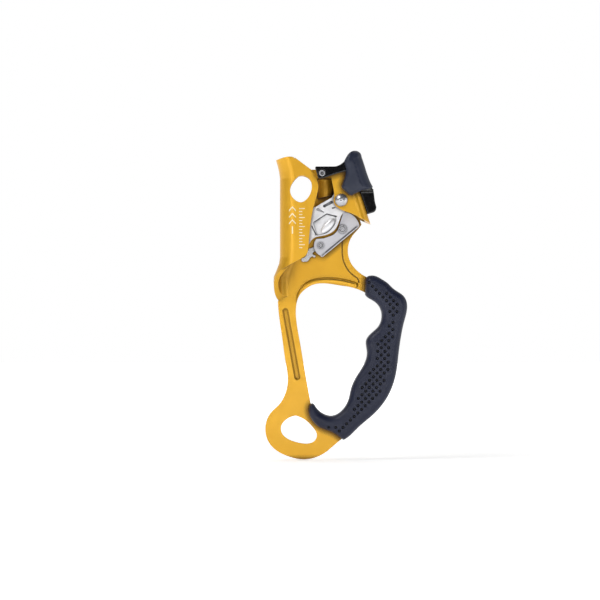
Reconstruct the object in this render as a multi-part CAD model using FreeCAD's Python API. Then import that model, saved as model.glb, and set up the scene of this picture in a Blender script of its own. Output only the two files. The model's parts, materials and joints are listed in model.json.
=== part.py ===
"""Handled rope ascender, right-hand model, in millimetres.

The frame is one folded aluminium sheet. Its left edge is rolled into a rope channel, its right shoulder is
folded into a housing, and its lower part is a bow for the hand. A toothed cam turns on a riveted axle in
the housing and presses the rope against the channel. A sheet steel catch lever lies between the cam and
the back plate, and a trigger rides over the housing.

+Z runs up the rope, +X runs from the channel towards the grip, and the front faces -Y.
The origin is on the rope's line through the channel, level with the cam's axle.
Outlines are drawn in the front view, as (x, z) points.
"""

import FreeCAD
import Part
import math
import os

V = FreeCAD.Vector
ACROSS = V(0, 1, 0)

# Sheet and rope channel
rope_max_d = 13.0
sheet_t = 3.0
channel_r = rope_max_d / 2
channel_out_r = channel_r + sheet_t
front_in_y = -channel_r
front_out_y = -channel_out_r
back_in_y = channel_r
back_out_y = channel_out_r

# Turning centres
axle = (30.2, 0.0)
trigger_pivot = (17.8, 17.3)
catch_pivot = (31.2, -18.6)
hook_rivet_at = (17.0, -29.2)

# Housing folded forward at the right shoulder: its side wall leans by this angle from upright
wall_lean = 17.8
wall_foot_x = 44.3
bend_in_r = 2.5
bend_out_r = bend_in_r + sheet_t
housing_top_z = 20.2

# Radii of the turning parts
axle_r = 3.0
axle_head_r = 4.2
bush_wall = 1.0
hub_r = 7.0
trigger_pin_r = 1.4
catch_pin_r = 1.5
hook_pin_r = 1.0

# Depths, front to back
trigger_front_y = front_out_y - 3.1
cap_front_y = trigger_front_y - 2.8
cap_back_y = 10.6
tail_front_y = -4.2
tail_back_y = 8.5
cam_front_y = -5.4
cam_back_y = 3.0
lever_front_y = 4.6
lever_back_y = 5.6
hook_back_y = 6.35
lip_front_y = 3.15
grip_mid_y = 8.0
grip_half = 11.5

# Cam: its face is a spiral about the axle, so that it bites harder as the rope drags it up
cam_reach = 26.0
cam_bite_angle = 22.0
tooth_h = 1.0
tooth_r = 0.62
tooth_rows = 9
tooth_row_step = 4.0

# Clearances
running_gap = 0.05
slide_gap = 0.1
seat_depth = 0.2


# ---------------------------------------------------------------- helpers

def at(point, y=0.0):
    """The point (x, z) of the front view, at depth y."""
    return V(point[0], y, point[1])


def line(end):
    return ("line", end)


def arc(through, end):
    return ("arc", through, end)


def curve(*points):
    return ("curve", points)


def outline(start, *steps):
    """A closed wire in the front view. Each step starts where the last one ended."""
    edges = []
    here = at(start)
    for step in steps:
        end = at(step[1][-1]) if step[0] == "curve" else at(step[-1])
        if step[0] == "line":
            edges.append(Part.makeLine(here, end))
        elif step[0] == "arc":
            edges.append(Part.Arc(here, at(step[1]), end).toShape())
        else:
            spline = Part.BSplineCurve()
            spline.interpolate([here] + [at(p) for p in step[1]])
            edges.append(spline.toShape())
        here = end
    if here.distanceToPoint(at(start)) > 1e-6:
        edges.append(Part.makeLine(here, at(start)))
    return Part.Wire(edges)


def slab(wire, y0, y1):
    """The closed wire's face, thickened from depth y0 to y1."""
    face = Part.Face(wire)
    face.translate(V(0, y0, 0))
    return face.extrude(V(0, y1 - y0, 0))


def rod(centre, radius, y0, y1):
    """A round bar along Y through the front-view point centre."""
    return Part.makeCylinder(radius, y1 - y0, at(centre, y0), ACROSS)


def ring(centre, outer, inner, y0, y1):
    return rod(centre, outer, y0, y1).cut(rod(centre, inner, y0 - 1, y1 + 1))


def polar(centre, radius, degrees):
    """The front-view point at this distance from centre, anticlockwise from +X."""
    a = math.radians(degrees)
    return (centre[0] + radius * math.cos(a), centre[1] + radius * math.sin(a))


def belt(c0, r0, c1, r1):
    """Outline of a belt around two circles."""
    dx = c1[0] - c0[0]
    dz = c1[1] - c0[1]
    heading = math.degrees(math.atan2(dz, dx))
    swing = math.degrees(math.acos((r0 - r1) / math.hypot(dx, dz)))
    start_left = polar(c0, r0, heading + swing)
    start_right = polar(c0, r0, heading - swing)
    end_left = polar(c1, r1, heading + swing)
    end_right = polar(c1, r1, heading - swing)
    return outline(start_left, arc(polar(c0, r0, heading + 180), start_right), line(end_right),
                   arc(polar(c1, r1, heading), end_left))


def below_plane(point, slope_x, slope_y):
    """A large block under the plane through point with these slopes."""
    reach = 120.0
    corners = []
    for sx, sy in ((-1, -1), (1, -1), (1, 1), (-1, 1)):
        dx = sx * reach
        dy = sy * reach
        corners.append(V(point.x + dx, point.y + dy, point.z + slope_x * dx + slope_y * dy))
    face = Part.Face(Part.makePolygon(corners + corners[:1]))
    return face.extrude(V(0, 0, -reach * 2))


def wall_x(z, outward=0.0):
    """X of the housing's outer side wall at height z, moved outward by this much."""
    lean = math.radians(wall_lean)
    return wall_foot_x - z * math.tan(lean) + outward / math.cos(lean)


def bead(points, y, radius):
    """A round bar bent along a smooth line through the front-view points, at depth y."""
    spline = Part.BSplineCurve()
    spline.interpolate([at(p, y) for p in points])
    path = spline.toShape()
    start = path.Vertexes[0].Point
    along = path.tangentAt(path.FirstParameter)
    section = Part.Wire(Part.makeCircle(radius, start, along))
    return Part.Wire(path).makePipeShell([section], True, True)


def coil(centre, mean_r, wire_r, y0, y1, turns, turn_from=0.0, leg=0.0):
    """A wire coil about a Y axis between depths y0 and y1. Its front end can run on as a straight leg."""
    sides = 12
    rise = y1 - y0 - 2 * wire_r
    helix = Part.makeHelix(rise / turns, rise, mean_r)
    corners = [polar((mean_r, 0.0), wire_r, 360.0 * (i + 0.5) / sides) for i in range(sides + 1)]
    body = Part.Wire(helix).makePipeShell([Part.makePolygon([at(c) for c in corners])], True, True)
    if leg:
        start = V(mean_r, 0.4, 0)
        body = body.fuse(Part.makeCylinder(wire_r * 0.98, leg + 0.4, start, V(0, -1, 0)))
    body.rotate(V(0, 0, 0), V(0, 0, 1), turn_from)
    body.rotate(V(0, 0, 0), V(1, 0, 0), -90)
    body.translate(at(centre, y0 + wire_r))
    return body


def solid(shape):
    """The single solid of a shape, with its seams merged."""
    clean = shape.removeSplitter()
    if len(clean.Solids) != 1:
        raise ValueError("expected one solid, got %d" % len(clean.Solids))
    return clean.Solids[0]


# ---------------------------------------------------------------- frame

# Left shift of the rolled channel's wall against height: it flares at its two mouths
channel_line = [(-68.0, -3.1), (-61.0, -3.6), (-53.0, -4.2), (-49.5, -4.0), (-45.5, -2.3), (-41.0, -0.6),
                (-37.0, 0.0),
                (14.0, 0.0), (18.5, -0.6), (23.0, -1.7), (30.0, -3.9)]
flap_foot = V(-10.5, front_in_y, -46.0)
flap_foot_slope = 0.56
mouth_slope = -1.5


def channel_section(shift, z):
    """The channel's cross-section at height z: a half ring open towards +X, with short straight legs."""
    leg_end = 1.0
    outer = [V(leg_end, back_out_y, z), V(shift, back_out_y, z), V(shift - channel_out_r, 0, z),
             V(shift, front_out_y, z), V(leg_end, front_out_y, z)]
    inner = [V(leg_end, front_in_y, z), V(shift, front_in_y, z), V(shift - channel_r, 0, z),
             V(shift, back_in_y, z), V(leg_end, back_in_y, z)]
    edges = []
    for side in (outer, inner):
        edges.append(Part.makeLine(side[0], side[1]))
        edges.append(Part.Arc(side[1], side[2], side[3]).toShape())
        edges.append(Part.makeLine(side[3], side[4]))
    edges.insert(3, Part.makeLine(outer[4], inner[0]))
    edges.append(Part.makeLine(inner[4], outer[0]))
    return Part.Face(Part.Wire(edges))


def channel():
    whole = None
    for (z0, s0), (z1, s1) in zip(channel_line, channel_line[1:]):
        piece = channel_section(s0, z0).extrude(V(s1 - s0, 0, z1 - z0))
        whole = piece if whole is None else whole.fuse(piece)
    # The front is cut off level with the flap's sloping foot; the side wall runs on down to the back plate
    foot = below_plane(flap_foot, flap_foot_slope, 0.0)
    front_zone = Part.makeBox(80, 20, 240, V(-40, front_in_y - 20, -160))
    mouth = below_plane(flap_foot, flap_foot_slope, mouth_slope)
    inside_zone = Part.makeBox(80, back_in_y - front_in_y, 240, V(-40, front_in_y, -160))
    return whole.cut(foot.common(front_zone)).cut(mouth.common(inside_zone))


def above_mouth():
    """The space over the channel's top edge, which slopes down to the right."""
    wire = outline((-20, 23.4), line((-12, 26)), curve((-6, 27.9), (-2.6, 28.2), (1, 27.0)),
                   line((10.4, 20.0)),
                   line((10.4, 60)), line((-20, 60)))
    return slab(wire, -20, 20)


def flap():
    """The front wall of the channel, with its pointed right edge."""
    wire = outline((0, 32), line((10.4, 20.0)), curve((12.9, 16.2), (14.9, 11.8), (15.4, 8.6), (14.6, 4.0),
                   (12.4, -4), (10.4, -15), (9.3, -26), (8.8, -31.5)), arc((8.3, -34.2), (6.4, -36.6)),
                   line((0, -40.1)))
    return slab(wire, front_out_y, front_in_y)


def back_plate():
    """The whole flat back: shoulder, neck, strut, lower loop and the tang under the grip."""
    wire = outline(
        (-2, 32), line((10.4, 20.0)), line((10.4, housing_top_z)),
        line((wall_x(housing_top_z, -bend_out_r), housing_top_z)),
        line((wall_x(-15.6, -bend_out_r), -15.6)),
        curve((41.6, -18.4), (38.2, -22.2), (35.3, -28), (34.7, -33), (36.4, -40), (40.5, -45.4),
              (46.5, -49.6)),
        curve((55, -54.5), (64.5, -60.5), (68.6, -66.5), (68.7, -73), (66.0, -84), (63.4, -100),
              (61.0, -115.5), (56.0, -128), (47.0, -139.0), (37.0, -149.2), (32.6, -153.6)),
        line((23.5, -161.3)),
        curve((17.9, -165.4), (11.6, -167.9), (5.6, -168.6), (-3.9, -166.7), (-11.9, -162.8),
              (-16.9, -157.4), (-19.1, -149.6), (-18.2, -143.1), (-15.3, -137.9), (-9.9, -132.6),
              (-6.8, -127.5), (-4.9, -121.5), (-4.5, -114.5), (-6.1, -104), (-8.0, -90), (-10.8, -68),
              (-10.9, -65.5)),
        line((-4, -56)), line((-2, -45)))
    return slab(wire, back_in_y, back_out_y)


def hand_opening():
    return outline(
        (31, -55.5), curve((22, -54.1), (12, -54.8), (7.6, -57.2), (3.4, -61.4), (1.1, -68), (1.0, -76.8),
                           (3.5, -92.4), (6.8, -112), (9.6, -127.5), (11.2, -136)),
        curve((14.6, -141.6), (24, -144.0), (32.8, -141.0), (38.0, -131), (41.2, -121), (47, -110),
              (50.2, -98), (51.6, -90), (57.2, -82.5), (59.4, -75), (57.6, -69), (52, -64.2)),
        curve((46.0, -60.0), (31, -55.5)))


def upper_eye():
    return outline((2.6, 15.6), curve((7.2, 15.4), (10.6, 12.4), (11.2, 9.2), (10.5, 5), (8.2, 1),
                   (4.2, -1.4), (0.2, 0.2), (-2.2, 3.2), (-2.9, 7), (-1.4, 11.2), (2.6, 15.6)))


def lower_eye():
    return outline((0.8, -140.1), curve((7.2, -143.1), (12.2, -148.1), (14.5, -152.6), (13.3, -156.2),
                   (8.6, -158.3), (2.5, -157.7), (-4.5, -155.2), (-8.2, -151.6), (-8.8, -147.2),
                   (-5.6, -142.7), (0.8, -140.1)))


def flange():
    """The housing's front wall, with an ear at its top left for the trigger's pivot."""
    wire = outline(
        (wall_x(housing_top_z, -bend_out_r), housing_top_z), line((17.8, housing_top_z)),
        arc(polar(trigger_pivot, 2.9, 180), (17.6, 14.6)), line((23.8, 16.2)),
        curve((24.1, 12.6), (25.2, 7.6), (25.7, 3.2), (25.3, 0.2)),
        curve((26.0, -2.6), (28.4, -5.2), (32, -7.0), (37, -8.7), (42.3, -11.7)))
    return slab(wire, front_out_y, front_in_y)


def fold():
    """The side wall and its two bends, extruded along the leaning wall."""
    mid = bend_out_r - channel_out_r
    y0, y1 = mid, -mid

    def bend(radius, y, toward):
        start = V(-bend_out_r, y + toward * radius, 0)
        half = radius * math.sqrt(0.5)
        through = V(-bend_out_r + half, y + toward * half, 0)
        return start, through, V(-bend_out_r + radius, y, 0)

    edges = []
    for radius in (bend_out_r, bend_in_r):
        a, b, c = bend(radius, y1, 1)
        d, e, f = bend(radius, y0, -1)
        edges += [Part.Arc(a, b, c).toShape(), Part.makeLine(c, f), Part.Arc(f, e, d).toShape()]
    back = Part.makeLine(V(-bend_out_r, back_out_y, 0), V(-bend_out_r, back_in_y, 0))
    front = Part.makeLine(V(-bend_out_r, front_out_y, 0), V(-bend_out_r, front_in_y, 0))
    face = Part.Face(Part.Wire(Part.sortEdges(edges + [back, front])[0]))
    low, high = -24.0, 26.0
    face.translate(V(0, 0, low))
    shape = face.extrude(V(0, 0, high - low))
    shape.rotate(V(0, 0, 0), ACROSS, -wall_lean)
    shape.translate(V(wall_foot_x, 0, 0))
    lower = below_plane(V(43.5, front_out_y, -12.0), -0.48, -0.06)
    upper = Part.makeBox(100, 60, 40, V(0, -30, housing_top_z))
    return shape.cut(lower).cut(upper)


def stop_tab():
    """A half tube pressed forward from the back plate above the cam; the cam's closed stop."""
    outer_r, inner_r, x = 5.3, 3.1, 20.2
    wire_z = outline((x - 8, 0.0), line((x - 8, 13.6)), line((x + 8, 13.6)), line((x + 8, 4.1)),
                     line((x - 8, 0.8)))
    reach = slab(wire_z, back_in_y - outer_r - 1, back_in_y + 1)
    tube = Part.makeCylinder(outer_r, 30, V(x, back_in_y + 0.5, -5)).cut(
        Part.makeCylinder(inner_r, 30, V(x, back_in_y + 0.5, -5)))
    return tube.common(reach)


def round_hole(centre, radius):
    return rod(centre, radius, -30, 30)


def countersink(centre, radius, depth):
    """A round pocket in the back of the frame for a rivet's tail."""
    return rod(centre, radius, back_out_y - depth, back_out_y + 1)


tail_depth = 1.2
grip_pin_places = [(58.5, -57.6), (64.0, -72.0), (57.0, -98.0), (49.5, -122.0), (39.0, -141.5)]
grip_pin_r = 2.0


def rolled_edge():
    """A half-round bead pressed along the top of the hand opening, running out down the strut."""
    radius, y = 3.1, 8.7
    end = (39.2, -55.1)
    path = [(7.4, -75.0), (4.2, -69.0), (3.2, -63.6), (5.2, -58.6), (8.8, -54.9), (14, -52.9), (22, -52.1),
            (31, -53.0), end]
    roll = bead(path, y, radius).fuse(Part.makeSphere(radius, at(end, y)))
    crease = bead([(10.0, -52.6), (14, -51.6), (22, -51.2), (31, -52.1), (38.6, -53.9)], 5.72, 0.3)
    return roll.cut([crease, Part.makeBox(120, 20, 60, V(-20, back_out_y - 0.4, -80))])


def neck_groove():
    """A groove pressed down the right of the neck, as a chain of short round-ended cuts."""
    path = [(31.0, -25.0), (31.0, -34.0), (31.6, -38.5), (32.3, -40.4), (33.2, -42.4), (34.2, -44.2),
            (35.3, -45.8), (36.8, -47.4), (38.4, -48.7), (40.0, -49.8), (41.1, -50.8), (41.7, -51.9),
            (41.8, -53.0)]
    return [slab(belt(a, 0.45, b, 0.45), back_in_y - 1, back_in_y + 0.35) for a, b in zip(path, path[1:])]


def strut_groove():
    """A long groove with sloping walls pressed down the strut."""
    low, high = (1.75, -114.9), (-6.0, -72.0)
    mouth = belt(low, 2.1, high, 2.1)
    floor = belt(low, 1.0, high, 1.0)
    depth = 0.9
    mouth.translate(V(0, back_in_y, 0))
    floor.translate(V(0, back_in_y + depth, 0))
    return Part.makeLoft([mouth, floor], True, True)


def frame():
    shape = back_plate().fuse([channel(), flap(), flange(), fold(), stop_tab()])
    shape = shape.cut(above_mouth())
    shape = shape.fuse(rolled_edge())
    shape = shape.cut([strut_groove()] + neck_groove())
    shape = shape.cut(slab(hand_opening(), 5.0, 11.0))
    shape = shape.cut([slab(upper_eye(), -20, 20), slab(lower_eye(), 0, 20)])
    shape = shape.cut([round_hole(axle, axle_r), round_hole(catch_pivot, catch_pin_r)])
    shape = shape.cut(rod(trigger_pivot, trigger_pin_r, front_out_y - 5, 0))
    shape = shape.cut([countersink(axle, axle_head_r, tail_depth), countersink(catch_pivot, 2.6, tail_depth)])
    shape = shape.cut([rod(p, grip_pin_r, 0, 20) for p in grip_pin_places])
    for y0, y1 in ((back_in_y - 1, back_in_y + seat_depth), (back_out_y - seat_depth, back_out_y + 1)):
        shape = shape.cut(slab(grip_outline(), y0, y1))
    return solid(shape)


# ---------------------------------------------------------------- grip

def grip_outline():
    outer = curve((52.6, -49.1), (56.6, -51.1), (60.6, -53.8), (63.2, -56.4), (66.6, -59.0),
                  (70.4, -61.6), (72.4, -64.5), (73.2, -68.2), (73.0, -71.8),
                  (71.2, -79), (69.3, -88), (67.6, -100), (66.1, -112), (63.2, -122), (58.1, -131.4),
                  (50.2, -140.1), (41.0, -148), (34.7, -154.0), (31.8, -155.8))
    foot = curve((30.0, -154.4), (25.0, -151.0), (15.9, -147.2), (11.3, -142.6), (9.2, -137.6), (9.8, -133.2))
    tip = curve((11.3, -132.2), (13.5, -134.0))
    inner = curve((16.2, -137.2), (20, -139.5), (23.6, -140.3), (28.2, -138.9), (32.2, -135.2),
                  (34.9, -130.4), (36.7, -123), (40.2, -115), (45.1, -107), (47.2, -99), (46.7, -91),
                  (49.5, -86.9), (54.6, -82), (56.7, -76), (55.4, -69.6), (51.6, -65.5), (48.4, -63.7),
                  (46.0, -61.4))
    return outline((46.0, -51.8), arc((46.9, -49.9), (49.0, -48.9)), outer, foot, tip, inner)


def grip_shell(frame_solid, front):
    """One half of the grip, moulded round the frame's tang, with plugs in the tang's holes."""
    y0, y1 = (grip_mid_y - grip_half, grip_mid_y) if front else (grip_mid_y, grip_mid_y + grip_half)
    shape = slab(grip_outline(), y0, y1)
    return solid(shape.cut(frame_solid))


# ---------------------------------------------------------------- cam

def spiral_point(drop, extra=0.0):
    """A point of the cam's face, drop degrees below level on the left of the axle."""
    bite = math.radians(cam_bite_angle)
    r = cam_reach / math.cos(bite) * math.exp(math.tan(bite) * (math.radians(drop) - bite))
    return polar(axle, r + extra, 180 + drop)


def cam_outline():
    face_top, face_mid, face_low = spiral_point(17.0), spiral_point(35.0), spiral_point(54.0)
    return outline(face_top, line((13.6, -4.3)), line((24.4, 1.9)),
                   arc(polar(axle, hub_r, 75), polar(axle, hub_r, -40)),
                   line((31.0, -8.6)),
                   curve((29.4, -12), (28.0, -16.0), (25.6, -19.6), (21.6, -22.0), (17.4, -23.1),
                         (13.2, -24.1), (10.9, -26.0), face_low),
                   arc(face_mid, face_top))


def cam_teeth():
    """Forward-leaning spikes in rows along the face, left of and right of the mud slot."""
    teeth = []
    for row in range(tooth_rows):
        drop = 19.5 + row * tooth_row_step
        base = spiral_point(drop, -0.35)
        tip = spiral_point(drop - 1.2, tooth_h)
        columns = (-4.6, -3.4, 0.3, 1.7) if row % 2 else (-4.0, -2.9, 0.9, 2.2)
        for y in columns:
            heading = at(tip) - at(base)
            teeth.append(Part.makeCone(tooth_r, 0.08, heading.Length, at(base, y), heading))
    return teeth


def swelling():
    """A long lens shape standing on the floor of the cam's pocket."""
    ball = Part.makeSphere(1.0)
    stretch = FreeCAD.Matrix()
    stretch.scale(V(7.0, 1.9, 2.9))
    lens = ball.transformGeometry(stretch)
    lens.rotate(V(0, 0, 0), ACROSS, -47.6)
    lens.translate(at((21.7, -16.8), cam_front_y + 1.4))
    return lens


def cam():
    shape = slab(cam_outline(), cam_front_y, cam_back_y)
    shape = shape.cut(rod(axle, axle_r + bush_wall, -20, 20))
    # A shallow pocket leaves a rim along the free edge; a swelling on its floor thickens the cam for strength
    pocket = outline((20.8, -8.9), line((26.7, -10.6)), curve((27.0, -12.6), (26.3, -15.4), (24.4, -18.5),
                     (21.0, -21.2), (17.4, -22.4), (14.6, -22.9)), line((12.0, -15.2)))
    shape = shape.cut(slab(pocket, cam_front_y - 1, cam_front_y + 0.6))
    shape = shape.fuse(swelling().common(slab(pocket, cam_front_y - 3, cam_front_y + 2)))
    slot = slab(belt((19.3, -3.8), 0.85, (23.9, -1.35), 1.0), cam_front_y - 1, cam_front_y + 2.2)
    ledge = slab(belt((15.0, -5.9), 0.9, (18.9, -7.8), 0.25), cam_front_y - 1, cam_front_y + 0.6)
    dimple = slab(belt((24.7, -5.1), 0.6, (26.0, -4.8), 0.5), cam_front_y - 1, cam_front_y + 0.7)
    face_groove = slab(belt((11.2, -16.8), 0.3, (13.9, -22.4), 0.45), cam_front_y - 1, cam_front_y + 1.2)
    long_groove = slab(belt((12.4, -14.3), 0.28, (20.8, -8.9), 0.28), cam_front_y - 1, cam_front_y + 1.4)
    cross_groove = slab(belt((20.8, -8.9), 0.28, (26.9, -10.5), 0.5), cam_front_y - 1, cam_front_y + 1.4)
    mud_slot = slab(outline(spiral_point(22, 3), line(spiral_point(22, -3.2)), line(spiral_point(46, -3.2)),
                            line(spiral_point(46, 3))), -1.9, -0.6)
    shape = shape.cut([slot, ledge, dimple, face_groove, long_groove, cross_groove, mud_slot])
    teeth = cam_teeth()
    shape = shape.fuse(teeth)
    return solid(shape)


def cam_bush():
    return ring(axle, axle_r + bush_wall, axle_r + running_gap, cam_front_y, cam_back_y)


def cam_axle():
    """A stepped rivet with a low domed head in front and a flush tail behind."""
    shank = rod(axle, axle_r, front_out_y, back_out_y - tail_depth)
    dome_h = 2.3
    ball_r = (axle_head_r ** 2 + dome_h ** 2) / (2 * dome_h)
    ball = Part.makeSphere(ball_r, at(axle, front_out_y - dome_h + ball_r))
    head = ball.common(rod(axle, axle_head_r + 1, front_out_y - dome_h - 1, front_out_y))
    tail = rod(axle, axle_head_r, back_out_y - tail_depth, back_out_y)
    dimple = Part.makeSphere(1.2, at(axle, front_out_y - dome_h - 0.85))
    return solid(shank.fuse([head, tail]).cut(dimple))


def cam_front_washer():
    return ring(axle, 4.5, axle_r + running_gap, front_in_y, cam_front_y - slide_gap)


def cam_rear_spacer():
    return ring(axle, 4.3, axle_r + running_gap, cam_back_y + slide_gap, back_in_y)


def cam_spring():
    """Torsion spring behind the cam, with a leg that runs along the cam."""
    return solid(coil(axle, 5.15, 0.35, cam_back_y + 0.15, back_in_y - 0.1, 2.75, 180, 4.0))


# ---------------------------------------------------------------- catch lever

def lever_outline():
    upper = polar(catch_pivot, 11.2, 88)
    right = polar(catch_pivot, 11.2, 12)
    return outline(upper, arc(polar(catch_pivot, 11.2, 50), right), line((41.8, -17.2)), line((18.4, -36.6)),
                   arc((17.6, -36.7), (16.8, -35.8)),
                   curve((14.2, -33.8), (12.7, -30.6), (13.0, -26.8), (14.2, -25.0)),
                   line((19.0, -24.6)), curve((22.6, -23.4), (25.8, -21.8), (27.7, -19.8), (28.8, -17.2),
                   (29.9, -13.6), (31.2, -9.6)))


def edge_strip(start, end, near, far):
    """Outline of a strip along the edge from start to end, lying between two distances to its left."""
    edge = at(end) - at(start)
    across = V(edge.z, 0, -edge.x).normalize()
    corners = [at(start) + across * near, at(end) + across * near, at(end) + across * far,
               at(start) + across * far]
    return outline(*[(corners[0].x, corners[0].z)] + [line((c.x, c.z)) for c in corners[1:]])


def catch_lever():
    """A steel plate turning on its own rivet, with a lip bent forward along its free edge."""
    plate = slab(lever_outline(), lever_front_y, lever_back_y)
    lip_t = 0.6
    top, foot = (41.8, -17.2), (18.4, -36.6)
    lip = slab(edge_strip(top, foot, 0.0, lip_t), lip_front_y, lever_back_y)
    relief = slab(edge_strip((40.8, -18.03), (21.0, -34.44), lip_t, lip_t + 0.9), 0.0, lever_front_y + 0.45)
    pin_hole = rod(catch_pivot, catch_pin_r + running_gap, 0, 20)
    return solid(plate.fuse(lip).cut([relief, pin_hole, rod(hook_rivet_at, hook_pin_r, 0, 20)]))


def catch_hook():
    """A forged hook riveted behind the lever; its beak reaches under the cam to the mouth of the channel."""
    wire = outline((20.0, -30.4), arc((17.8, -26.4), (13.8, -28.6)), curve((11.6, -30.6), (9.6, -31.2)),
                   curve((8.3, -33.8), (7.4, -36.0), (4.9, -37.6)), arc((4.8, -39.3), (6.6, -39.6)),
                   curve((9.2, -38.6), (10.4, -36.9), (12.0, -36.4)), arc((13.3, -36.8), (13.2, -35.6)),
                   curve((11.6, -34.6), (13.2, -32.8), (16.6, -33.0)))
    shape = slab(wire, lever_back_y, hook_back_y)
    return solid(shape.cut(rod(hook_rivet_at, hook_pin_r, 0, 20)))


def hook_rivet():
    pin = rod(hook_rivet_at, hook_pin_r, lever_front_y, hook_back_y)
    head = rod(hook_rivet_at, 1.9, lever_front_y - 0.8, lever_front_y)
    groove = ring(hook_rivet_at, 1.45, hook_pin_r, lever_front_y - 1, lever_front_y - 0.4)
    return solid(pin.fuse(head).cut(groove))


def catch_rivet():
    """Rivet carrying the lever: head in front of the spring, tail sunk in the back plate."""
    head_y = cam_back_y + 0.15
    shank = rod(catch_pivot, catch_pin_r, head_y, back_out_y - tail_depth)
    head = rod(catch_pivot, 2.7, head_y, head_y + 0.45)
    head = head.cut(ring(catch_pivot, 1.9, 1.5, head_y - 1, head_y + 0.25))
    tail = rod(catch_pivot, 2.6, back_out_y - tail_depth, back_out_y)
    return solid(shank.fuse([head, tail]))


def catch_washer():
    return ring(catch_pivot, 2.6, catch_pin_r + running_gap, lever_back_y + slide_gap, back_in_y)


def catch_spring():
    return solid(coil(catch_pivot, 2.1, 0.15, cam_back_y + 0.65, lever_front_y - 0.08, 1.5, 90))


# ---------------------------------------------------------------- trigger

def housing_zone():
    """The housing and all inside it, with room for the trigger to slide past."""
    z_top = housing_top_z + 0.4
    gap = 0.45
    wire = outline((0, z_top), line((wall_x(z_top, gap), z_top)), line((wall_x(-30, gap), -30)),
                   line((0, -30)))
    return slab(wire, front_out_y - slide_gap, 20)


def arm_outline():
    return outline(
        (13.3, 20.6), arc((13.5, 21.5), (14.4, 21.7)), line((25.6, 21.7)),
        curve((29.6, 23.0), (32.6, 25.6), (35.4, 28.6), (38.4, 30.2)),
        curve((41.4, 29.2), (43.4, 24.4), (46.4, 15)),
        line((49.2, 8.0)), line((42.0, 6.6)), line((36.6, 4.8)), line((32.6, 8.8)),
        curve((33.4, 12.4), (35.0, 18.4)),
        line((33.0, 18.5)), curve((28, 17.2), (22, 15.2), (18.2, 14.0), (16.2, 13.7)),
        arc((15.2, 14.2), (14.8, 15.6)))


def tail_outline():
    gap = 0.5
    return outline(
        (wall_x(21.2, gap), 21.2), line((38.6, 27.4)), line((41.6, 27.2)), line((44.4, 19.0)),
        line((49.2, 8.0)), line((51.0, 7.2)), curve((51.6, 4.0), (52.0, 0.4), (52.8, -3.2)),
        curve((53.0, -5.6), (52.0, -7.4), (50.2, -8.1)),
        line((wall_x(-9.0, gap), -9.0)))


def trigger_arm():
    """Glossy moulding: the arm in front of the housing and the tail beside it."""
    shape = slab(arm_outline(), trigger_front_y, front_out_y - slide_gap)
    tail = slab(tail_outline(), front_out_y - slide_gap - 0.2, tail_back_y)
    # Below the cap the tail is set back, so that the housing's front bend stays in view
    step_top_z = 5.8
    step = Part.makeBox(30, 20, 40, V(40, tail_front_y - 20, step_top_z - 40))
    shape = shape.fuse(tail.cut(step))
    shape = shape.cut(rod(trigger_pivot, trigger_pin_r + 0.6, -30, 20))
    spring_pocket = rod(trigger_pivot, 2.75, front_out_y - 1.6, 20)
    return solid(shape.cut(spring_pocket))


def cap_outline():
    return outline(
        (32.0, 25.0), curve((33.7, 28.2), (36, 30.9), (39.2, 32.0), (42.2, 30.8), (43.4, 28.0)),
        curve((44.6, 24.6), (46.6, 18.2), (50.2, 9.4)), arc((50.6, 8.2), (49.4, 7.6)),
        line((43.6, 6.2)), line((37.6, 3.2)), arc((36.6, 2.8), (35.6, 3.2)), line((31.2, 7.2)),
        arc((30.4, 8.4), (30.7, 9.8)), curve((32.2, 13.6), (33.2, 18.0), (32.6, 22.0)))


def trigger_cap(arm):
    """Soft cover moulded over the arm: front wing, top and outer side."""
    shape = slab(cap_outline(), cap_front_y, cap_back_y)
    shape = shape.cut(housing_zone())
    return solid(shape.cut(arm))


def trigger_bush():
    """A brass liner in the arm, running on the pivot rivet."""
    return ring(trigger_pivot, trigger_pin_r + 0.6, trigger_pin_r + running_gap, trigger_front_y,
                front_out_y - 1.6)


def trigger_rivet():
    """A hollow-headed rivet through the arm and the flange's ear."""
    head_y = trigger_front_y - 0.8
    shank = rod(trigger_pivot, trigger_pin_r, trigger_front_y - slide_gap, front_in_y + 0.8)
    head = rod(trigger_pivot, 1.95, head_y - slide_gap, trigger_front_y - slide_gap)
    socket = rod(trigger_pivot, 1.15, head_y - 1, head_y + 1.6)
    tail = rod(trigger_pivot, 1.9, front_in_y, front_in_y + 0.8)
    return solid(shank.fuse([head, tail]).cut(socket))


def trigger_spring():
    y0, y1 = front_out_y - 1.5, front_out_y - 0.1
    return solid(coil(trigger_pivot, 2.2, 0.2, y0, y1, 1.75))


# ---------------------------------------------------------------- parts

def build():
    frame_solid = frame()
    arm = trigger_arm()
    return {
        "frame": frame_solid,
        "grip_front_shell": grip_shell(frame_solid, True),
        "grip_rear_shell": grip_shell(frame_solid, False),
        "cam": cam(),
        "cam_bush": cam_bush(),
        "cam_axle": cam_axle(),
        "cam_front_washer": cam_front_washer(),
        "cam_rear_spacer": cam_rear_spacer(),
        "cam_spring": cam_spring(),
        "catch_lever": catch_lever(),
        "catch_hook": catch_hook(),
        "hook_rivet": hook_rivet(),
        "catch_rivet": catch_rivet(),
        "catch_washer": catch_washer(),
        "catch_spring": catch_spring(),
        "trigger_arm": arm,
        "trigger_cap": trigger_cap(arm),
        "trigger_bush": trigger_bush(),
        "trigger_rivet": trigger_rivet(),
        "trigger_spring": trigger_spring(),
    }


os.makedirs("parts", exist_ok=True)
for name, shape in build().items():
    if not shape.isValid():
        print("not valid:", name)
    shape.exportStep("parts/%s.step" % name)
    print(name, round(shape.Volume, 2), len(shape.Solids))
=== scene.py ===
import json
import math

import bpy
import numpy as np
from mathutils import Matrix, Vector
from mathutils.geometry import delaunay_2d_cdt


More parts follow.
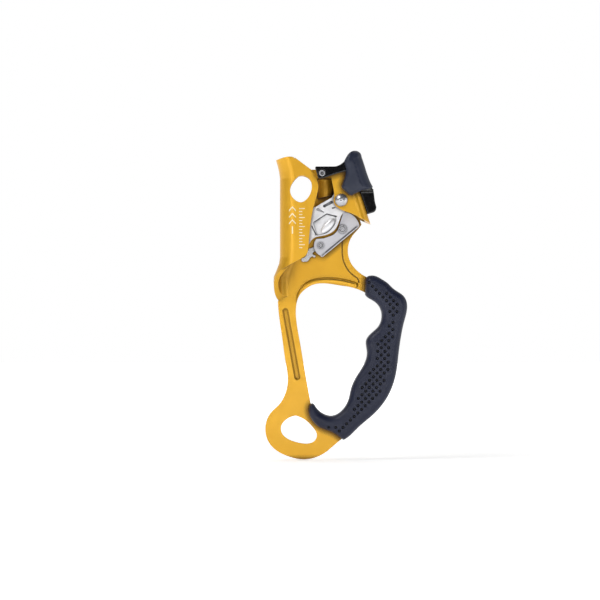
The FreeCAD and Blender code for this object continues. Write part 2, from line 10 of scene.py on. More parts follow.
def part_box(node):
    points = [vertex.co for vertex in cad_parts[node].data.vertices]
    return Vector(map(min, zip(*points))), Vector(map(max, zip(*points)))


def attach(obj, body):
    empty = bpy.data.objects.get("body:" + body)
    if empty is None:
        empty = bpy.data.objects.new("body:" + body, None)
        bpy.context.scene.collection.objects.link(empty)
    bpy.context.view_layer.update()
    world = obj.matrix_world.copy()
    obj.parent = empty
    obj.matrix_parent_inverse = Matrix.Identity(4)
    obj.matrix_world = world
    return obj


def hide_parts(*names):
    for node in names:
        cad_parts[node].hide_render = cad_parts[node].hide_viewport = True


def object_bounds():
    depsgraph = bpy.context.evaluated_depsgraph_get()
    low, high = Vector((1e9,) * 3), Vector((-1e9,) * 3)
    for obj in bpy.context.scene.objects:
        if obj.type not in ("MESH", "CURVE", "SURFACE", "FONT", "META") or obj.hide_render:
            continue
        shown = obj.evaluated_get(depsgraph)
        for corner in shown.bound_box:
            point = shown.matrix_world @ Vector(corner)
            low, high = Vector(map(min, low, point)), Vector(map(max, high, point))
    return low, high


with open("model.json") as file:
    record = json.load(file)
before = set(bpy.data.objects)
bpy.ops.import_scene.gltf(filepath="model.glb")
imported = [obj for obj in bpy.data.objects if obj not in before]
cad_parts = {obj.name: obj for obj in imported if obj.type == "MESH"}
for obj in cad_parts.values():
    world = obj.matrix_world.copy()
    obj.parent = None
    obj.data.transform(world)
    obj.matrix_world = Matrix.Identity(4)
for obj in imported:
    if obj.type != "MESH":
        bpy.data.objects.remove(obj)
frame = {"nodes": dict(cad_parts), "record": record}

cad_low, cad_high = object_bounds()
MM = 0.001


# ---------------------------------------------------------------- material helpers

def set_range(node, from_low, from_high, low, high):
    """Sets the four ends of a map-range node."""
    sockets = ("From Min", "From Max", "To Min", "To Max")
    for socket, number in zip(sockets, (from_low, from_high, low, high)):
        node.inputs[socket].default_value = number


class Shader:
    """A node material under construction. Its textures are measured in millimetres on the piece."""

    def __init__(self, name):
        self.material = bpy.data.materials.new(name)
        self.material.use_nodes = True
        self.tree = self.material.node_tree
        self.tree.nodes.clear()
        self.output = self.tree.nodes.new("ShaderNodeOutputMaterial")
        self.surface = self.add("ShaderNodeBsdfPrincipled")
        self.link(self.surface.outputs[0], self.output.inputs["Surface"])
        self.place = self.add("ShaderNodeTexCoord").outputs["Object"]
        self.normal = None

    def add(self, kind, **settings):
        """A new node with these settings."""
        node = self.tree.nodes.new(kind)
        for key, value in settings.items():
            setattr(node, key, value)
        return node

    def link(self, start, end):
        self.tree.links.new(start, end)

    def put(self, socket, value):
        """Sets an input of the surface, from a number, a colour or another node's output."""
        target = self.surface.inputs[socket]
        if isinstance(value, bpy.types.NodeSocket):
            self.link(value, target)
        elif isinstance(value, tuple) and len(value) == 3:
            target.default_value = (*value, 1.0)
        else:
            target.default_value = value

    def stretched(self, scale=(1, 1, 1), turn=(0, 0, 0)):
        """Texture coordinates in millimetres, turned and then stretched."""
        mapping = self.add("ShaderNodeMapping", vector_type="TEXTURE")
        mapping.inputs["Rotation"].default_value = turn
        mapping.inputs["Scale"].default_value = tuple(MM * s for s in scale)
        self.link(self.place, mapping.inputs["Vector"])
        return mapping.outputs[0]

    def noise(self, size, detail=3.0, roughness=0.55, stretch=(1, 1, 1), turn=(0, 0, 0)):
        """Cloudy noise with features about this many millimetres across."""
        node = self.add("ShaderNodeTexNoise")
        node.inputs["Scale"].default_value = 1.0 / size
        node.inputs["Detail"].default_value = detail
        node.inputs["Roughness"].default_value = roughness
        self.link(self.stretched(stretch, turn), node.inputs["Vector"])
        return node.outputs["Fac"]

    def cells(self, size):
        """Distance from the middle of the nearest of many cells, about this many millimetres across."""
        node = self.add("ShaderNodeTexVoronoi", feature="F1")
        node.inputs["Scale"].default_value = 1.0 / size
        self.link(self.stretched(), node.inputs["Vector"])
        return node.outputs["Distance"]

    def ramp(self, value, low, high, from_low=0.3, from_high=0.7):
        """Maps a value onto a range of numbers. The defaults suit a noise, which stays near 0.5."""
        node = self.add("ShaderNodeMapRange")
        set_range(node, from_low, from_high, low, high)
        self.link(value, node.inputs["Value"])
        return node.outputs["Result"]

    def mix(self, amount, dark, light):
        """Blends two colours by a number or a node's output."""
        node = self.add("ShaderNodeMix", data_type="RGBA")
        if isinstance(amount, bpy.types.NodeSocket):
            self.link(amount, node.inputs["Factor"])
        else:
            node.inputs["Factor"].default_value = amount
        for socket, colour in ((6, dark), (7, light)):
            if isinstance(colour, bpy.types.NodeSocket):
                self.link(colour, node.inputs[socket])
            else:
                node.inputs[socket].default_value = (*colour, 1.0)
        return node.outputs[2]

    def round_edges(self, radius):
        """Softens sharp edges by this many millimetres."""
        node = self.add("ShaderNodeBevel", samples=6)
        node.inputs["Radius"].default_value = radius * MM
        self.normal = node.outputs[0]

    def bump(self, height, depth):
        """Raises the surface by up to depth millimetres where height is one."""
        node = self.add("ShaderNodeBump")
        node.inputs["Distance"].default_value = depth * MM
        node.inputs["Strength"].default_value = 1.0
        self.link(height, node.inputs["Height"])
        if self.normal is not None:
            self.link(self.normal, node.inputs["Normal"])
        self.normal = node.outputs[0]

    def worn_edges(self, radius, strength):
        """This strength along sharp edges, zero elsewhere."""
        bevel = self.add("ShaderNodeBevel", samples=6)
        bevel.inputs["Radius"].default_value = radius * MM
        flat = self.add("ShaderNodeNewGeometry")
        dot = self.add("ShaderNodeVectorMath", operation="DOT_PRODUCT")
        self.link(bevel.outputs[0], dot.inputs[0])
        self.link(flat.outputs["Normal"], dot.inputs[1])
        return self.ramp(dot.outputs["Value"], strength, 0.0, 0.80, 0.99)

    def painted_crevice_shade(self, reach, power, own_only=False):
        """Painted shade: one on open surfaces, falling to zero in gaps and corners narrower than reach
        millimetres.
        Materials darken their colour by it to paint shade there. With own_only, other pieces don't count."""
        node = self.add("ShaderNodeAmbientOcclusion", samples=8, only_local=own_only)
        node.inputs["Distance"].default_value = reach * MM
        raised = self.add("ShaderNodeMath", operation="POWER")
        self.link(node.outputs["AO"], raised.inputs[0])
        raised.inputs[1].default_value = power
        return raised.outputs[0]

    def product(self, first, second):
        """Multiplies two numbers or outputs."""
        node = self.add("ShaderNodeMath", operation="MULTIPLY")
        for socket, value in zip(node.inputs, (first, second)):
            if isinstance(value, bpy.types.NodeSocket):
                self.link(value, socket)
            else:
                socket.default_value = value
        return node.outputs[0]

    def done(self):
        """The finished material."""
        if self.normal is not None:
            self.link(self.normal, self.surface.inputs["Normal"])
        return self.material


# ---------------------------------------------------------------- materials

def anodised_gold():
    """Satin gold anodising, paler where its edges have worn, with painted shade that darkens it and dims
    its coat in recesses and gaps.
    """
    s = Shader("anodised_gold")
    s.round_edges(0.35)
    s.bump(s.noise(0.22, 4.0, 0.6), 0.010)
    s.bump(s.noise(6.0, 2.0), 0.03)
    cloud = s.ramp(s.noise(18.0, 4.0), 0.0, 1.0)
    base = s.mix(cloud, (0.72, 0.372, 0.012), (0.78, 0.415, 0.018))
    worn = s.worn_edges(0.3, 0.55)
    # Painted shade: the colour goes nearly black in the frame's own hollows and in narrow gaps next to
    # other pieces
    unshaded = s.product(s.painted_crevice_shade(13.0, 1.9, own_only=True), s.painted_crevice_shade(4.0, 2.8))
    s.put("Base Color", s.mix(unshaded, (0.03, 0.010, 0.001), s.mix(worn, base, (0.90, 0.66, 0.22))))
    s.put("Metallic", 0.6)
    s.put("Roughness", s.ramp(s.noise(3.0, 5.0), 0.34, 0.44))
    # The coat fades with the painted shade, which dims reflections in the hollows
    s.put("Coat Weight", s.product(unshaded, 0.35))
    s.put("Coat Roughness", 0.25)
    return s.done()


def cast_steel():
    """Pale cast steel with a slightly uneven skin, and painted shade in its crevices."""
    s = Shader("cast_steel")
    s.round_edges(0.3)
    s.bump(s.noise(0.5, 4.0), 0.02)
    s.bump(s.noise(2.4, 3.0), 0.05)
    tone = s.ramp(s.noise(4.0, 4.0), 0.0, 1.0)
    clean = s.mix(tone, (0.70, 0.70, 0.72), (0.82, 0.82, 0.84))
    # Painted shade: nearly black in crevices narrower than 2.2 mm
    s.put("Base Color", s.mix(s.painted_crevice_shade(2.2, 2.0), (0.02, 0.02, 0.03), clean))
    s.put("Metallic", 0.75)
    s.put("Roughness", s.ramp(s.noise(1.5, 4.0), 0.34, 0.48))
    return s.done()


def brushed_lever():
    """Steel sheet brushed along the catch lever, with painted shade in its crevices."""
    s = Shader("lever_steel")
    along = math.radians(-39.6)
    s.round_edges(0.2)
    streaks = s.noise(0.16, 3.0, 0.6, stretch=(40, 1, 1), turn=(0, along, 0))
    s.bump(streaks, 0.006)
    clean = s.mix(s.ramp(streaks, 0.0, 1.0), (0.56, 0.56, 0.60), (0.66, 0.66, 0.70))
    # Painted shade: nearly black in crevices narrower than 1.6 mm
    s.put("Base Color", s.mix(s.painted_crevice_shade(1.6, 2.0), (0.02, 0.02, 0.03), clean))
    s.put("Metallic", 0.7)
    s.put("Roughness", s.ramp(streaks, 0.36, 0.52))
    return s.done()


def turned_metal(name, colour, roughness):
    """Bright machined metal of this colour, with painted shade in its crevices."""
    s = Shader(name)
    s.round_edges(0.15)
    s.bump(s.noise(0.8, 2.0), 0.004)
    tone = s.ramp(s.noise(1.4, 4.0), 0.0, 1.0)
    clean = s.mix(tone, tuple(0.88 * c for c in colour), colour)
    # Painted shade: nearly black in crevices narrower than 1.4 mm
    s.put("Base Color", s.mix(s.painted_crevice_shade(1.4, 2.0), (0.01, 0.01, 0.01), clean))
    s.put("Metallic", 0.85)
    s.put("Roughness", s.ramp(s.noise(0.8, 4.0), roughness * 0.8, roughness * 1.25))
    return s.done()


def gloss_black():
    """Shiny black moulding."""
    s = Shader("gloss_black")
    s.round_edges(0.5)
    s.bump(s.noise(2.2, 2.0), 0.02)
    s.bump(s.noise(0.25, 3.0), 0.002)
    cloud = s.ramp(s.noise(5.0, 3.0), 0.0, 1.0)
    s.put("Base Color", s.mix(cloud, (0.001, 0.001, 0.002), (0.002, 0.002, 0.003)))
    s.put("Roughness", s.ramp(s.noise(1.2, 5.0), 0.10, 0.18))
    s.put("Specular IOR Level", 0.5)
    return s.done()


def soft_touch(name, dark, light, roughness, grain):
    """Matt rubbery moulding with a fine grain, clouded between two colours, and with painted shade in its
    dimples and crevices.
    """
    s = Shader(name)
    s.round_edges(0.5)
    s.bump(s.cells(grain), 0.02)
    s.bump(s.noise(0.5, 3.0), 0.012)
    clean = s.mix(s.ramp(s.noise(9.0, 4.0), 0.0, 1.0), dark, light)
    # Painted shade: nearly black in dimples and crevices narrower than 1.6 mm
    s.put("Base Color", s.mix(s.painted_crevice_shade(1.6, 3.0), (0.001, 0.001, 0.002), clean))
    s.put("Roughness", s.ramp(s.noise(2.0, 5.0), roughness - 0.06, roughness + 0.06))
    s.put("Specular IOR Level", 0.4)
    return s.done()


def etched_pale():
    """Anodising etched back to nearly bare metal."""
    s = Shader("etched_pale")
    cloud = s.ramp(s.noise(0.5, 4.0), 0.0, 1.0)
    s.put("Base Color", s.mix(cloud, (0.86, 0.72, 0.42), (0.94, 0.84, 0.60)))
    s.put("Metallic", 0.5)
    s.put("Roughness", s.ramp(s.noise(0.4, 3.0), 0.45, 0.6))
    return s.done()


materials = {
    "anodised_gold": anodised_gold(),
    "cast_steel": cast_steel(),
    "lever_steel": brushed_lever(),
    "hook_steel": turned_metal("hook_steel", (0.66, 0.66, 0.68), 0.3),
    "rivet_steel": turned_metal("rivet_steel", (0.56, 0.56, 0.59), 0.28),
    "washer_steel": turned_metal("washer_steel", (0.60, 0.60, 0.62), 0.35),
    "spring_steel": turned_metal("spring_steel", (0.45, 0.45, 0.47), 0.3),
    "bronze": turned_metal("bronze", (0.62, 0.40, 0.18), 0.35),
    "gloss_black": gloss_black(),
    "etched_pale": etched_pale(),
    "soft_cover": soft_touch("soft_cover", (0.013, 0.018, 0.038), (0.018, 0.023, 0.046), 0.40, 0.16),
    "grip_rubber": soft_touch("grip_rubber", (0.005, 0.008, 0.028), (0.008, 0.012, 0.036), 0.42, 0.2),
}

slots = {sub["node"]: sub["material_slot"] for sub in frame["record"]["subparts"]}


def finish_node(node):
    """Gives a carried-over node its slot's material."""
    mesh = frame["nodes"][node].data
    mesh.materials.clear()
    mesh.materials.append(materials[slots[node]])


for node_name in frame["nodes"]:
    finish_node(node_name)


# ---------------------------------------------------------------- crowned bodies

def face_loop(node, y):
    """The outer outline of a node's flat face at depth y (millimetres), as an N x 2 array of x and z."""
    mesh = frame["nodes"][node].data
    co = np.array([v.co[:] for v in mesh.vertices]) / MM
    first_at = {}
    same = [first_at.setdefault(tuple(place), i) for i, place in enumerate(np.round(co, 4))]
    edges = {}
    for face in mesh.polygons:
        if all(abs(co[v][1] - y) < 0.01 for v in face.vertices):
            ring = [same[v] for v in face.vertices]
            edges.update({edge: True for edge in zip(ring, ring[1:] + ring[:1])})
    follow = {a: b for (a, b) in edges if (b, a) not in edges}
    loops = []
    while follow:
        start, here = next(iter(follow.items()))
        loop = [start]
        del follow[start]
        while here != start:
            loop.append(here)
            here = follow.pop(here)
        loops.append(co[loop][:, [0, 2]])
    outer = max(loops, key=lambda loop: abs(area(loop)))
    return outer if area(outer) > 0 else outer[::-1]


def area(loop):
    """The area inside the loop, above zero if it runs anticlockwise."""
    x, z = loop[:, 0], loop[:, 1]
    return 0.5 * float(np.sum(x * np.roll(z, -1) - np.roll(x, -1) * z))


def even_loop(loop, spacing):
    """The loop resampled at even spacing, with its sharp corners kept."""
    sharp = 0.5
    step = np.roll(loop, -1, 0) - loop
    heading = np.arctan2(step[:, 1], step[:, 0])
    turn = (heading - np.roll(heading, 1) + math.pi) % (2 * math.pi) - math.pi
    corners = [i for i in range(len(loop)) if abs(turn[i]) > sharp]
    if not corners:
        corners = [0]
    out = []
    for a, b in zip(corners, corners[1:] + [corners[0] + len(loop)]):
        part = loop[[i % len(loop) for i in range(a, b + 1)]]
        length = np.concatenate(([0], np.cumsum(np.linalg.norm(np.diff(part, axis=0), axis=1))))
        count = max(1, int(round(length[-1] / spacing)))
        at = np.linspace(0, length[-1], count + 1)[:-1]
        out.append(np.stack([np.interp(at, length, part[:, 0]), np.interp(at, length, part[:, 1])], 1))
    return np.concatenate(out)


def edge_distance(points, loop):
    """Distance from each point to the nearest stretch of the loop."""
    best = np.full(len(points), 1e9)
    for a, b in zip(loop, np.roll(loop, -1, 0)):
        ab = b - a
        t = np.clip(((points - a) @ ab) / max(ab @ ab, 1e-12), 0, 1)
        best = np.minimum(best, np.linalg.norm(points - (a + t[:, None] * ab), axis=1))
    return best


def inside(points, loop):
    """Whether each point is inside the loop, by crossing count."""
    x, z = points[:, 0], points[:, 1]
    result = np.zeros(len(points), bool)
    for (ax, az), (bx, bz) in zip(loop, np.roll(loop, -1, 0)):
        if az == bz:
            continue
        hit = ((az > z) != (bz > z)) & (x < (bx - ax) * (z - az) / (bz - az) + ax)
        result ^= hit
    return result


def inward(loop):
    """The unit vector into the loop at each of its points."""
    step = np.roll(loop, -1, 0) - np.roll(loop, 1, 0)
    normal = np.stack([-step[:, 1], step[:, 0]], 1)
    return normal / np.linalg.norm(normal, axis=1)[:, None]


def new_piece(name, verts, faces):
    """A mesh object in the scene, from points in metres."""
    mesh = bpy.data.meshes.new(name)
    mesh.from_pydata(verts, [], faces)
    mesh.validate()
    piece = bpy.data.objects.new(name, mesh)
    bpy.context.scene.collection.objects.link(piece)
    return piece


def smoothed(piece):
    mesh = piece.data
    mesh.polygons.foreach_set("use_smooth", [True] * len(mesh.polygons))


def triangulated(loop, points):
    """Triangles over the inside of the loop, through all the points, which start with the loop's own."""
    vectors = [Vector(p) for p in points]
    flat, _, faces, *_ = delaunay_2d_cdt(vectors, [], [list(range(len(loop)))], 1, 1e-5)
    return np.array([v[:] for v in flat]), faces


def shell_points(loop, toward, edge_r, spacing, dots, dot_r):
    """Points for a crowned face: the loop itself, rings along its rounded rim, rings round the dots,
    and a grid over the rest."""
    rim_angles = np.radians([12, 24, 36, 48, 60, 72, 84, 90])
    dot_rings = (0.0, 0.35, 0.6, 0.78, 0.92, 1.02, 1.2)
    dot_sides = 16
    dot_room = 1.45
    clouds = [loop]
    for d in edge_r * (1 - np.cos(rim_angles)):
        ring = loop + toward * d
        clouds.append(ring[inside(ring, loop) & (edge_distance(ring, loop) > d * 0.985)])
    low, high = loop.min(0), loop.max(0)
    grid = []
    for k, z in enumerate(np.arange(low[1], high[1], spacing * 0.866)):
        grid += [(x, z) for x in np.arange(low[0] + (k % 2) * spacing / 2, high[0], spacing)]
    grid = np.array(grid)
    grid = grid[inside(grid, loop)]
    grid = grid[edge_distance(grid, loop) > edge_r + 0.5 * spacing]
    if len(dots):
        near = np.min(np.linalg.norm(grid[:, None] - dots[None], axis=2), axis=1)
        grid = grid[near > dot_r * dot_room]
        angles = np.linspace(0, 2 * math.pi, dot_sides, endpoint=False)
        for part in dot_rings:
            ring = np.stack([np.cos(angles), np.sin(angles)], 1) * dot_r * part
            clouds.append((dots[:, None] + ring[None]).reshape(-1, 2) if part else dots)
    return np.concatenate(clouds + [grid])


def shell_depth(flat, loop, edge_r, crown, dots, dot_r, dot_depth):
    """How far below the face's highest level each point lies."""
    bowl_wall = 0.45
    d = edge_distance(flat, loop)
    inner = np.clip(1 - d / edge_r, 0, 1)
    depth = edge_r * (1 - np.sqrt(1 - inner ** 2))
    depth += crown * (1 - np.clip(d / d.max(), 0, 1)) ** 2
    if len(dots):
        gap = np.min(np.linalg.norm(flat[:, None] - dots[None], axis=2), axis=1) / dot_r
        bowl = np.clip((1.0 - gap) / bowl_wall, 0, 1)
        depth += dot_depth * bowl * bowl * (3 - 2 * bowl)
    return depth


def crowned_shell(name, loop, y_seam, y_face, edge_r, crown, spacing,
                  dots=(), dot_r=1.0, dot_depth=0.0, seam=0.25):
    """A half shell over the loop: flat at the seam, rounded at its rim, and slightly crowned on its face.
    Round dimples are sunk at dots, and the seam is chamfered. Everything is in millimetres."""
    loop = even_loop(loop, spacing * 0.6)
    n = len(loop)
    toward = inward(loop)
    dots = np.array(dots).reshape(-1, 2)
    flat, faces = triangulated(loop, shell_points(loop, toward, edge_r, spacing, dots, dot_r))
    side = 1.0 if y_face > y_seam else -1.0
    y = y_face - side * shell_depth(flat, loop, edge_r, crown, dots, dot_r, dot_depth)
    verts = [(p[0] * MM, h * MM, p[1] * MM) for p, h in zip(flat, y)]
    # The triangulation may merge or reorder points, so the rim is looked up by place
    rim = [int(np.argmin(np.linalg.norm(flat - p, axis=1))) for p in loop]
    rim_y = y_face - side * (edge_r + crown)
    skirt = [rim]
    levels = [(rim_y + (y_seam - rim_y) * t, 0.0) for t in (0.33, 0.66)]
    levels += [(y_seam + side * seam * 1.6, 0.0), (y_seam + side * seam * 0.3, seam), (y_seam, seam)]
    for level, shrink in levels:
        ring = loop + toward * shrink
        skirt.append(list(range(len(verts), len(verts) + n)))
        verts += [(p[0] * MM, level * MM, p[1] * MM) for p in ring]
    polys = [tuple(f) if side < 0 else tuple(reversed(f)) for f in faces]
    for upper, lower in zip(skirt, skirt[1:]):
        for i in range(n):
            j = (i + 1) % n
            quad = (upper[i], lower[i], lower[j], upper[j])
            polys.append(quad if side < 0 else tuple(reversed(quad)))
    base = skirt[-1] if side < 0 else skirt[-1][::-1]
    polys.append(tuple(base[::-1]))
    piece = new_piece(name, verts, polys)
    smoothed(piece)
    return piece


# ---------------------------------------------------------------- grip

def dimple_places():
    """Where the dimples are, in millimetres: a square lattice that stands on its corners. Each row down
    the grip is its first column and its number of dimples, which are two columns apart."""
    rows = [(-7, 1), (-6, 1), (-5, 1), (-4, 2), (-3, 2), (-2, 2), (-1, 2), (0, 1), (-1, 2), (0, 1),
            (0, 0), (0, 1), (-1, 1), (0, 1), (-1, 1), (-2, 2), (-3, 2), (-4, 2), (-3, 2), (-4, 2),
            (-3, 2), (-4, 2), (-3, 2), (-4, 2), (-5, 3), (-6, 3), (-5, 2), (-6, 3), (-7, 3), (-8, 3),
            (-7, 3), (-8, 3), (-9, 3), (-8, 2), (-9, 2), (-10, 2), (-9, 1), (-10, 1), (-11, 1), (-12, 1),
            (-17, 3), (-14, 1)]
    x_step, z_step, drift = 2.33, 2.35, 0.032
    right, top = 64.73, -53.4
    places = []
    for number, (first, count) in enumerate(rows):
        z = top - z_step * number
        for k in range(count):
            places.append((right + x_step * (first + 2 * k) + drift * (z - top), z))
    return places


def build_grip():
    """Both halves of the grip, crowned, round at the rim and dimpled."""
    rim_r, crown, spacing = 3.6, 0.9, 1.0
    dimple_r, dimple_depth = 1.05, 1.1
    front_low, front_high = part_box("grip_front_shell")
    rear_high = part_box("grip_rear_shell")[1]
    y_front, y_seam, y_rear = front_low[1] / MM, front_high[1] / MM, rear_high[1] / MM
    loop = face_loop("grip_front_shell", y_front)
    dots = dimple_places()
    halves = (("grip_front", y_front, "grip_front_shell"), ("grip_rear", y_rear, "grip_rear_shell"))
    for name, y_face, node in halves:
        piece = crowned_shell(name, loop, y_seam, y_face, rim_r, crown, spacing,
                              dots, dimple_r, dimple_depth)
        piece.data.materials.append(materials["grip_rubber"])
        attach(piece, "frame")
        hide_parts(node)


build_grip()


# ---------------------------------------------------------------- trigger

# The housing's side wall: its lean from upright, and its X at height zero in millimetres
WALL_LEAN = math.radians(17.8)
WALL_FOOT_X = 44.3


def applied(piece):
    """Bakes the piece's modifiers into its mesh."""
    bpy.context.view_layer.update()
    graph = bpy.context.evaluated_depsgraph_get()
    mesh = bpy.data.meshes.new_from_object(piece.evaluated_get(graph))
    piece.modifiers.clear()
    piece.data = mesh
    smoothed(piece)


def rounded(piece, voxel, rounds):
    """Rounds every edge of the piece, by meshing it evenly and relaxing it."""
    remesh = piece.modifiers.new("even", "REMESH")
    remesh.mode = "VOXEL"
    remesh.voxel_size = voxel * MM
    relax = piece.modifiers.new("relaxed", "SMOOTH")
    relax.factor = 0.5
    relax.iterations = rounds
    applied(piece)


def prism(name, loop, y0, y1):
    """A closed prism over the (x, z) points of loop, in millimetres."""
    n = len(loop)
    verts = [(x * MM, y * MM, z * MM) for y in (y0, y1) for x, z in loop]
    faces = [tuple(range(n)), tuple(reversed(range(n, 2 * n)))]
    faces += [(i, n + i, n + (i + 1) % n, (i + 1) % n) for i in range(n)]
    return new_piece(name, verts, faces)


def wall_x(z, outward):
    """X of a plane this far outside the housing's side wall, at height z."""
    return WALL_FOOT_X - z * math.tan(WALL_LEAN) + outward / math.cos(WALL_LEAN)


def cut_away(piece, tool):
    """Cuts the tool out of the piece, and deletes the tool."""
    cut = piece.modifiers.new("cut", "BOOLEAN")
    cut.operation = "DIFFERENCE"
    cut.solver = "EXACT"
    cut.object = tool
    applied(piece)
    bpy.data.objects.remove(tool)


def build_cap():
    """The soft cover: a crowned front wing, hollowed out where it sits over the housing."""
    rim_r, crown, spacing = 2.6, 0.5, 0.8
    roll_r = 6.0
    housing_top, room_foot, room_back = 20.6, -40, 40
    wall_gap, flange_gap = 0.4, 0.1
    low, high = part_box("trigger_cap")
    y_front, y_back = low[1] / MM, high[1] / MM
    loop = even_loop(face_loop("trigger_cap", y_front), 0.3)
    piece = crowned_shell("trigger_cover", loop, y_back, y_front, rim_r, crown, spacing, seam=0.0)
    bulge_away(piece, loop, y_front, roll_r)
    room = [(0, housing_top), (0, room_foot), (wall_x(room_foot, wall_gap), room_foot),
            (wall_x(housing_top, wall_gap), housing_top)]
    flange_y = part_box("frame")[0][1] / MM
    cut_away(piece, prism("room", room, flange_y - flange_gap, room_back))
    rounded(piece, voxel=0.36, rounds=7)
    keep_within(piece, low, high)
    piece.data.materials.append(materials["soft_cover"])
    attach(piece, "trigger")
    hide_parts("trigger_cap")


def bulge_away(piece, loop, y_front, radius):
    """Rolls the front face away towards the outline's upper right side, with this radius."""
    upper_right = np.array([0.85, 0.53])
    lowest_z = 8.6
    set_back = 0.5
    side = -inward(loop) @ upper_right > 0.35
    side &= loop[:, 1] > lowest_z
    rim = loop[side]
    for vertex in piece.data.vertices:
        x, y, z = vertex.co / MM
        gap = float(np.min(np.hypot(rim[:, 0] - x, rim[:, 1] - z)))
        if gap < radius:
            roll = radius * (1 - math.sqrt(max(0.0, 1 - (1 - gap / radius) ** 2)))
            vertex.co.y = max(y, y_front + set_back + roll) * MM


def keep_within(piece, low, high):
    """Holds every point of the piece inside a box given in metres."""
    for vertex in piece.data.vertices:
        for axis in range(3):
            vertex.co[axis] = min(max(vertex.co[axis], low[axis]), high[axis])


def build_arm():
    """The glossy moulding with its edges rounded and its tail close beside the housing."""
    shift, reach, flange_gap = 0.58, 2.5, 0.3
    source = frame["nodes"]["trigger_arm"]
    piece = bpy.data.objects.new("trigger_lever", source.data.copy())
    bpy.context.scene.collection.objects.link(piece)
    rounded(piece, voxel=0.3, rounds=14)
    lean = Vector((math.cos(WALL_LEAN), 0, math.sin(WALL_LEAN)))
    behind_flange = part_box("frame")[0][1] + flange_gap * MM
    for vertex in piece.data.vertices:
        x, y, z = vertex.co / MM
        away = (x - wall_x(z, 0.0)) * lean.x
        if y * MM > behind_flange and away < reach:
            vertex.co -= lean * (shift * MM * (1 - away / reach))
    piece.data.materials.clear()
    piece.data.materials.append(materials["gloss_black"])
    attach(piece, "trigger")
    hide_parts("trigger_arm")


build_cap()
build_arm()


# ---------------------------------------------------------------- markings

# Outer radius of the rope channel, which is also how far the frame reaches to the front
CHANNEL_R = -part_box("frame")[0][1] / MM


def flap_y(x):
    """Depth of the channel's outer surface at x: round left of the rope's line, flat right of it."""
    return -CHANNEL_R if x >= 0 else -math.sqrt(CHANNEL_R ** 2 - x ** 2)


def decal(name, loops):
    """Plain etched shapes lying on the channel's front, given as loops of (x, z) points. They are a thin
    layer, from just above the surface to just under it."""
    spacing, edge_room, above, below = 0.5, 0.15, 0.03, 0.05
    verts, faces = [], []
    for loop in loops:
        loop = np.array(loop, float)
        if area(loop) < 0:
            loop = loop[::-1]
        ring = even_loop(loop, spacing)
        low, high = ring.min(0), ring.max(0)
        xs, zs = np.arange(low[0], high[0], spacing), np.arange(low[1], high[1], spacing)
        grid = np.array([(x, z) for x in xs for z in zs])
        grid = grid[inside(grid, ring)]
        grid = grid[edge_distance(grid, ring) > edge_room] if len(grid) else grid
        flat, tris = triangulated(ring, np.concatenate([ring, grid.reshape(-1, 2)]))
        start, count = len(verts), len(flat)
        for lift in (above, -below):
            verts += [(p[0] * MM, (flap_y(p[0]) - lift) * MM, p[1] * MM) for p in flat]
        faces += [tuple(start + i for i in t) for t in tris]
        faces += [tuple(start + count + i for i in reversed(t)) for t in tris]
        edges = {edge: True for tri in tris for edge in zip(tri, tri[1:] + tri[:1])}
        for a, b in edges:
            if (b, a) not in edges:
                faces.append((start + a, start + count + a, start + count + b, start + b))
    piece = new_piece(name, verts, faces)
    piece.data.materials.append(materials["etched_pale"])
    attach(piece, "frame")


def chevron(x, z, half, rise, thick):
    """An upward chevron with its tip at (x, z)."""
    return [(x - half, z - rise), (x, z), (x + half, z - rise), (x + half, z - rise - thick),
            (x, z - thick), (x - half, z - rise - thick)]


def bar(x0, x1, z, thick):
    """A bar from x0 to x1 whose top is at z."""
    return [(x0, z), (x1, z), (x1, z - thick), (x0, z - thick)]


def build_markings():
    """Three plain chevrons that point up the rope, over a short stem, and a plain scale of bars."""
    chevron_step, tick_step = 4.2, 1.95
    arrows = [chevron(-1.4, -4.0 - chevron_step * k, half=2.2, rise=2.4, thick=1.0) for k in range(3)]
    stem = [(-1.8, -17.0), (-1.0, -17.0), (-1.0, -21.8), (-1.8, -21.8)]
    decal("up_mark", arrows + [stem])
    ticks = []
    for k in range(14):
        end = 6.6 if k % 3 == 0 else 5.0
        ticks.append(bar(3.0, end, -5.2 - tick_step * k, thick=0.55))
    decal("scale_mark", ticks)


build_markings()


# ---------------------------------------------------------------- stage

def area_light(name, place, size, power, aim):
    """A rectangular light at place, in metres and watts, turned towards aim."""
    data = bpy.data.lights.new(name, "AREA")
    data.shape = "RECTANGLE"
    data.size, data.size_y = size
    data.energy = power
    light = bpy.data.objects.new(name, data)
    light.location = place
    light.rotation_mode = "QUATERNION"
    light.rotation_quaternion = (Vector(aim) - Vector(place)).to_track_quat("-Z", "Y")
    bpy.context.scene.collection.objects.link(light)
    return light


def studio_world():
    """White behind the object as the camera sees it. What the object reflects is dim at the front, so that
    flat faces keep their colour, and bright behind."""
    world = bpy.data.worlds.new("studio")
    world.use_nodes = True
    tree = world.node_tree
    tree.nodes.clear()
    output = tree.nodes.new("ShaderNodeOutputWorld")
    seen = tree.nodes.new("ShaderNodeBackground")
    seen.inputs["Color"].default_value = (1.0, 1.0, 1.0, 1.0)
    lit = tree.nodes.new("ShaderNodeBackground")
    place = tree.nodes.new("ShaderNodeTexCoord")
    split = tree.nodes.new("ShaderNodeSeparateXYZ")
    backward = tree.nodes.new("ShaderNodeMapRange")
    tree.links.new(place.outputs["Generated"], split.inputs[0])
    tree.links.new(split.outputs["Y"], backward.inputs["Value"])
    set_range(backward, -0.35, 0.6, 0.10, 1.0)
    tree.links.new(backward.outputs["Result"], lit.inputs["Strength"])
    path = tree.nodes.new("ShaderNodeLightPath")
    choose = tree.nodes.new("ShaderNodeMixShader")
    tree.links.new(path.outputs["Is Camera Ray"], choose.inputs[0])
    tree.links.new(lit.outputs[0], choose.inputs[1])
    tree.links.new(seen.outputs[0], choose.inputs[2])
    tree.links.new(choose.outputs[0], output.inputs[0])
    bpy.context.scene.world = world


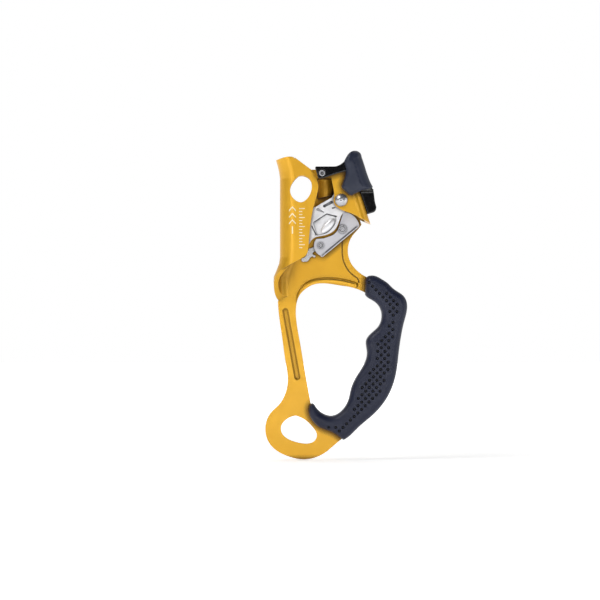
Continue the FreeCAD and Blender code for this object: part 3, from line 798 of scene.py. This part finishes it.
def build_floor():
    """A plain pale floor just under the object. It glows a little, more so far out for the camera, so that
    it runs into the white behind it."""
    half, drop = 4.0, 0.0005
    z = cad_low[2] - drop
    floor = new_piece("floor", [(-half, -half, z), (half, -half, z), (half, half, z), (-half, half, z)],
                      [(0, 1, 2, 3)])
    s = Shader("pale_floor")
    cloud = s.ramp(s.noise(300.0, 2.0), 0.0, 1.0)
    s.put("Base Color", s.mix(cloud, (0.90, 0.90, 0.90), (0.93, 0.93, 0.93)))
    s.put("Roughness", 0.9)
    s.put("Emission Color", (1.0, 1.0, 1.0))
    away = s.add("ShaderNodeVectorMath", operation="LENGTH")
    s.link(s.place, away.inputs[0])
    distance = away.outputs["Value"]
    path = s.add("ShaderNodeLightPath")
    choose = s.add("ShaderNodeMix", data_type="FLOAT")
    s.link(path.outputs["Is Camera Ray"], choose.inputs[0])
    s.link(s.ramp(distance, 0.45, 0.7, 0.2, 0.5), choose.inputs[2])
    s.link(s.ramp(distance, 0.45, 1.0, 0.2, 1.4), choose.inputs[3])
    s.put("Emission Strength", choose.outputs[0])
    floor.data.materials.append(s.done())


def build_lights():
    """Soft light from the upper left, a weaker one from the right, a strip on each side of the camera, and
    a low one for what faces downwards, which the camera doesn't see."""
    centre = (cad_low + cad_high) / 2
    area_light("key", (-0.75, -0.75, 0.95), (0.7, 0.7), 8.0, centre)
    area_light("side", (1.25, -0.30, 0.25), (0.5, 0.9), 2.0, centre)
    low = area_light("low", (0.0, -0.55, -0.14), (0.5, 0.04), 0.22, (0.0, 0.0, -0.05))
    low.visible_camera = False
    area_light("left_strip", (-0.5, -1.25, -0.05), (0.25, 0.9), 2.2, centre)
    area_light("right_strip", (0.5, -1.25, -0.05), (0.25, 0.9), 2.0, centre)


def build_camera():
    """A long lens square to the front, so that the whole frame spans 390 mm at the object."""
    span, distance = 0.390, 2.6
    data = bpy.data.cameras.new("camera")
    data.lens = data.sensor_width * distance / span
    data.clip_end = 20
    camera = bpy.data.objects.new("camera", data)
    camera.location = (0.00351, -distance, -0.06474)
    camera.rotation_euler = (math.radians(90), 0, 0)
    bpy.context.scene.collection.objects.link(camera)
    bpy.context.scene.camera = camera
    bpy.context.scene.view_settings.view_transform = "Standard"


studio_world()
build_floor()
build_lights()
build_camera()
